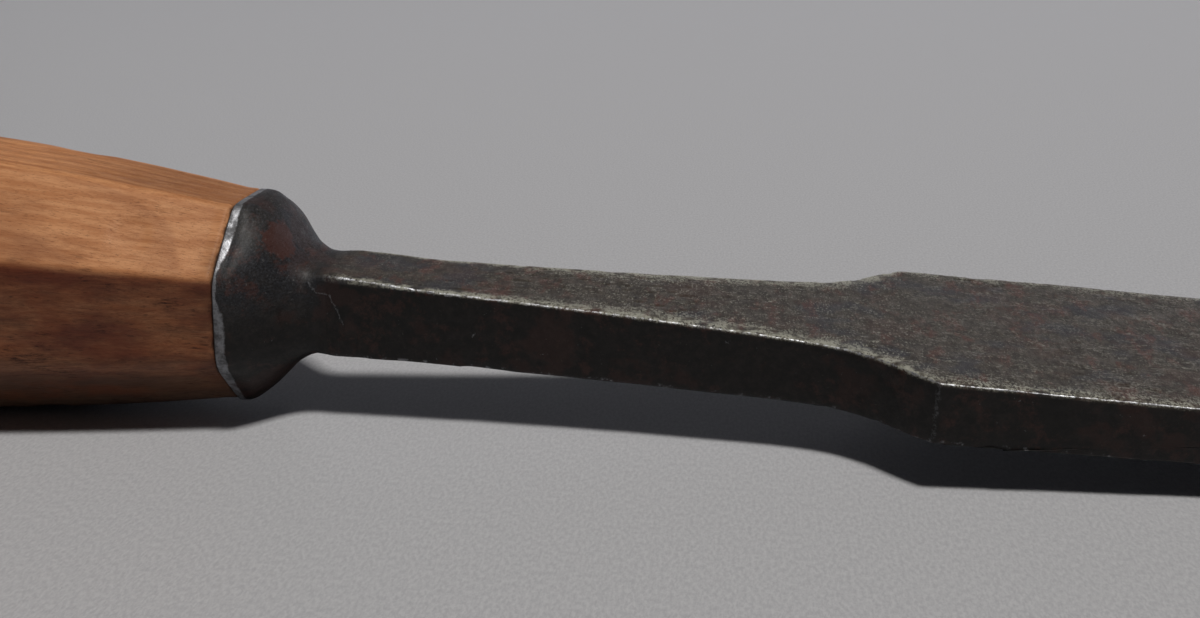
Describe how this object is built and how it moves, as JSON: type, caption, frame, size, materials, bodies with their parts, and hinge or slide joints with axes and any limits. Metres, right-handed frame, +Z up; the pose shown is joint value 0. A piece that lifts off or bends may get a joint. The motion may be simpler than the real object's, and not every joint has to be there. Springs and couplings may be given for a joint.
{
  "type": "bench chisel",
  "caption": "Hand-forged tanged bench chisel: short wide blade, shouldered neck and octagonal bolster in an octagonal wooden handle.",
  "frame": {"origin": "centre of the bounding box on the surface that the tool lies on: it rests bevel up on the belly of its handle and on its cutting edge", "axes": "+X along the tool towards the cutting edge, +Y across the blade, +Z up, square to the surface it lies on"},
  "size_m": [0.2646, 0.0318, 0.0295],
  "materials": {
    "forged_iron": "dark hand-forged surface with old rust, worn bright along its edges",
    "edge_steel": "dark forged surface, ground bright on the bevel",
    "handle_wood": "worn, oiled, close-grained orange-brown wood"
  },
  "bodies": {
    "root": {"iron_forging": "forged_iron", "steel_facing": "edge_steel", "wood_handle": "handle_wood"}
  },
  "joints": []
}
